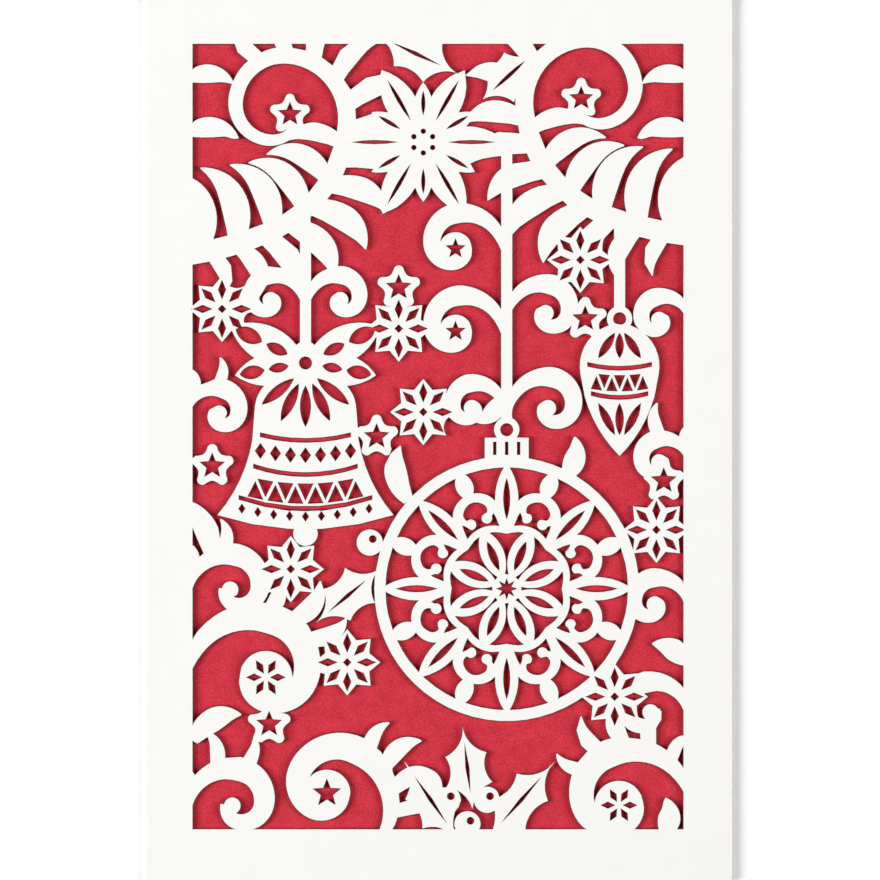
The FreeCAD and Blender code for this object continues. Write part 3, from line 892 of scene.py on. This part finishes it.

# %% [markdown]
# ## Red pearl paper
# The sheet behind the lattice is paper coated with red ink and flakes of mica. The flakes lie
# nearly flat and are too fine to see one by one, but they lie in clumps of a third of a
# millimetre, which mottle the red. Here and there a flake that would catch the light is a painted
# highlight, a paler spot in the colour. The sheet keeps its construction shape.

# %% Material: mica-coated paper
def mica_coated_paper():
    """Red ink with mica: mottle of 0.35 mm, faint clumps of 2.5 mm, painted pale glints, and a soft
    satin highlight.
    """
    material, tree = new_material("mica_coated_paper")
    place = add_node(tree, "ShaderNodeTexCoord").outputs["Object"]
    mottle = add_node(tree, "ShaderNodeTexNoise", {
        "Vector": place, "Scale": 1 / (0.35 * MM), "Detail": 3.0, "Roughness": 0.6})
    clump = add_node(tree, "ShaderNodeTexNoise", {
        "Vector": place, "Scale": 1 / (2.5 * MM), "Detail": 2.0})
    both = add_node(tree, "ShaderNodeMath", {
        0: clump, 1: 0.35, 2: mottle}, operation="MULTIPLY_ADD")
    share = add_node(tree, "ShaderNodeMapRange", {"Value": both, "From Min": 0.45, "From Max": 0.9})
    ink = add_node(tree, "ShaderNodeMix", {
        0: share, 6: linear("#B42431"), 7: linear("#E13D4E")}, data_type="RGBA")
    # Painted highlight: about one flake in ten gets a paler colour, in place of a flake turned to
    # the light under the ink.
    flake = add_node(tree, "ShaderNodeTexVoronoi", {"Vector": place, "Scale": 1 / (0.3 * MM)})
    painted_glint_cells = add_node(tree, "ShaderNodeMapRange", {
        "Value": flake.outputs["Color"], "From Min": 0.8, "From Max": 1.0})
    painted_glint_share = add_node(tree, "ShaderNodeMath", {0: painted_glint_cells, 1: 0.25}, operation="MULTIPLY")
    colour = add_node(tree, "ShaderNodeMix", {
        0: painted_glint_share, 6: ink.outputs[2], 7: linear("#E8707C")}, data_type="RGBA")
    bump = add_node(tree, "ShaderNodeBump", {
        "Height": mottle, "Strength": 0.3, "Distance": 0.04 * MM})
    shader = add_node(tree, "ShaderNodeBsdfPrincipled", {
        "Base Color": colour.outputs[2], "Roughness": 0.55, "IOR": 1.5, "Specular IOR Level": 0.35,
        "Specular Tint": linear("#F0A0A8"), "Normal": bump})
    add_node(tree, "ShaderNodeOutputMaterial", {"Surface": shader})
    return material


def finish_node(node, material):
    """Gives a construction node its material. Its mesh and its place stay as they are."""
    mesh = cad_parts[node].data
    mesh.materials.clear()
    mesh.materials.append(material)


finish_node("backing_sheet", mica_coated_paper())

# %% [markdown]
# ## Foam tape
# The four strips are white polyethylene foam with adhesive on both faces. A knife cut them, so
# their sides show the cells of the foam, each about 0.3 mm across. Voronoi cells look just like
# that. Their colour is painted light: the thin walls are painted paler as a highlight, and the open
# cells darker as shade.

# %% Material: closed-cell foam tape
def closed_cell_foam():
    """Cut foam, cells of 0.3 mm: painted highlight on the thin walls, painted shade in the open
    cells.
    """
    material, tree = new_material("closed_cell_foam")
    place = add_node(tree, "ShaderNodeTexCoord").outputs["Object"]
    cell = add_node(tree, "ShaderNodeTexVoronoi", {
        "Vector": place, "Scale": 1 / (0.3 * MM)}, feature="DISTANCE_TO_EDGE")
    wall = add_node(tree, "ShaderNodeMapRange", {
        "Value": cell.outputs["Distance"], "From Max": 0.3})
    # Painted light: the cell walls take the paler colour as a painted highlight, and the open cells
    # the darker one as painted shade.
    colour = add_node(tree, "ShaderNodeMix", {
        0: wall, 6: linear("#F4F2EC"), 7: linear("#D9D5CC")}, data_type="RGBA")
    bump = add_node(tree, "ShaderNodeBump", {
        "Height": wall, "Strength": 0.6, "Distance": 0.08 * MM}, invert=True)
    shader = add_node(tree, "ShaderNodeBsdfPrincipled", {
        "Base Color": colour.outputs[2], "Roughness": 0.75, "IOR": 1.5, "Normal": bump})
    add_node(tree, "ShaderNodeOutputMaterial", {"Surface": shader})
    return material


foam = closed_cell_foam()
tapes = [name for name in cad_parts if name.startswith("tape_")]
for name in tapes:
    finish_node(name, foam)
print("foam on", tapes)

# %% [markdown]
# ## The table
# The card lies on a plain white table. The lamps light the table only near the card, so it would
# turn grey further off. What the camera sees of it is therefore lifted to white, a little beside
# the card, where its shadow has to stay, and more with the distance. Glossy and clear surfaces
# show it lifted too, but it sends no more light to matt ones.

# %% Material: matt white laminate
NEAR_LIFT, FAR_LIFT = 0.16, 1.0
LIFT_FROM, LIFT_TO = 0.2, 0.9


def seen_directly(tree):
    """1 for rays from the camera and from glossy or clear surfaces, 0 for those from matt ones."""
    ray = add_node(tree, "ShaderNodeLightPath").outputs
    seen = ray["Is Camera Ray"]
    for name in ("Is Glossy Ray", "Is Transmission Ray"):
        seen = add_node(tree, "ShaderNodeMath", {0: seen, 1: ray[name]}, operation="MAXIMUM")
    return seen


def matt_white_laminate():
    """Matt laminate with a faint grain of 2 mm."""
    material, tree = new_material("matt_white_laminate")
    place = add_node(tree, "ShaderNodeTexCoord").outputs["Object"]
    grain = add_node(tree, "ShaderNodeTexNoise", {
        "Vector": place, "Scale": 1 / (2 * MM), "Detail": 2.0})
    colour = add_node(tree, "ShaderNodeMix", {
        0: grain, 6: linear("#F4F4F3"), 7: linear("#F8F8F7")}, data_type="RGBA")
    matt = add_node(tree, "ShaderNodeBsdfDiffuse", {"Color": colour.outputs[2]})
    away = add_node(tree, "ShaderNodeVectorMath", {0: place}, operation="LENGTH")
    haze = add_node(tree, "ShaderNodeMapRange", {
        "Value": away.outputs["Value"], "From Min": LIFT_FROM, "From Max": LIFT_TO,
        "To Min": NEAR_LIFT, "To Max": FAR_LIFT})
    lift = add_node(tree, "ShaderNodeMath", {
        0: seen_directly(tree), 1: haze}, operation="MULTIPLY")
    glow = add_node(tree, "ShaderNodeEmission", {"Strength": lift})
    both = add_node(tree, "ShaderNodeAddShader", {0: matt, 1: glow})
    add_node(tree, "ShaderNodeOutputMaterial", {"Surface": both})
    return material


print("the camera sees the table brighter by", NEAR_LIFT, "to", FAR_LIFT)

# %% [markdown]
# ## The table top
# One square is enough for a flat table. It lies a hair below the card, because two faces in the
# same plane would show through each other. It is only a stage, not a part of the card.

# %% Table top
TABLE_HALF = 3.0
TABLE_GAP = 0.02
table_z = cad_box[0].z - TABLE_GAP * MM
table_mesh = bpy.data.meshes.new("table")
table_mesh.from_pydata(
    [(x * TABLE_HALF, y * TABLE_HALF, table_z) for x, y in ((-1, -1), (1, -1), (1, 1), (-1, 1))],
    [], [(0, 1, 2, 3)])
table_mesh.materials.append(matt_white_laminate())
table = bpy.data.objects.new("table", table_mesh)
bpy.context.scene.collection.objects.link(table)
print("table at", round(table_z / MM, 3), "mm")

# %% [markdown]
# ## The light
# Two tall soft lamps stand one at each side, two metres off, so that their light is nearly even
# over the card. Each reaches from low beside the card to high above it, so a shadow on the red is
# deep under its edge and fades out over nearly two millimetres. The lamps are narrow the other
# way, so level edges throw almost no shadow. The left lamp is the stronger one. Both are turned
# towards the top of the card, which is therefore a little brighter than the foot.

# %% Lamps
LAMP_ELEVATION = math.radians(41)
LAMP_DISTANCE = 2.0
LAMP_HEIGHT, LAMP_WIDTH = 1.24, 0.72
LAMP_Y = -0.08
LAMP_AIM = Vector((0.0, 1.0, 0.0))
LEFT_WATTS, RIGHT_WATTS = 42.5, 28.5


def tall_lamp(name, side, power):
    """A tall soft lamp at one side, -1 or 1, with its power in watts."""
    data = bpy.data.lights.new(name, "AREA")
    data.shape = "RECTANGLE"
    data.energy, data.size, data.size_y = power, LAMP_WIDTH, LAMP_HEIGHT
    lamp = bpy.data.objects.new(name, data)
    across, up = math.cos(LAMP_ELEVATION), math.sin(LAMP_ELEVATION)
    lamp.location = (side * across * LAMP_DISTANCE, LAMP_Y, up * LAMP_DISTANCE)
    lamp.rotation_euler = (LAMP_AIM - lamp.location).to_track_quat("-Z", "Y").to_euler()
    bpy.context.scene.collection.objects.link(lamp)
    print(name, "at", [round(c, 2) for c in lamp.location], "m,", power, "W")


tall_lamp("left_lamp", -1, LEFT_WATTS)
tall_lamp("right_lamp", 1, RIGHT_WATTS)

# %% [markdown]
# ## The room
# The room is nearly dark, so that the lamps alone make the shadows. The camera sees it white, and
# so does any glossy or clear surface.

# %% World
ROOM_FILL, ROOM_SEEN = 0.03, 1.0
world = bpy.data.worlds.new("studio")
world.use_nodes = True
bpy.context.scene.world = world
room = world.node_tree
room.nodes.clear()
strength = add_node(room, "ShaderNodeMapRange", {
    "Value": seen_directly(room), "To Min": ROOM_FILL, "To Max": ROOM_SEEN})
backdrop = add_node(room, "ShaderNodeBackground", {"Strength": strength})
add_node(room, "ShaderNodeOutputWorld", {"Surface": backdrop})
print("room light:", ROOM_FILL)

# %% [markdown]
# ## The camera
# The card is seen from straight above through a long lens, so its sides stay parallel. The
# distance follows from the width that the picture takes in at the height of the lattice.

# %% Camera
VIEW_WIDTH = 179.3
LOOK_AT = Vector((0.41, -0.2))
LENS, SENSOR_WIDTH = 200.0, 36.0
camera_data = bpy.data.cameras.new("camera")
camera_data.lens, camera_data.sensor_width = LENS, SENSOR_WIDTH
camera = bpy.data.objects.new("camera", camera_data)
distance = VIEW_WIDTH * LENS / SENSOR_WIDTH
camera.location = Vector((LOOK_AT.x, LOOK_AT.y, leaf_top + distance)) * MM
bpy.context.scene.collection.objects.link(camera)
bpy.context.scene.camera = camera
bpy.context.scene.view_settings.view_transform = "Standard"
print("camera", round(distance, 1), "mm above the lattice")
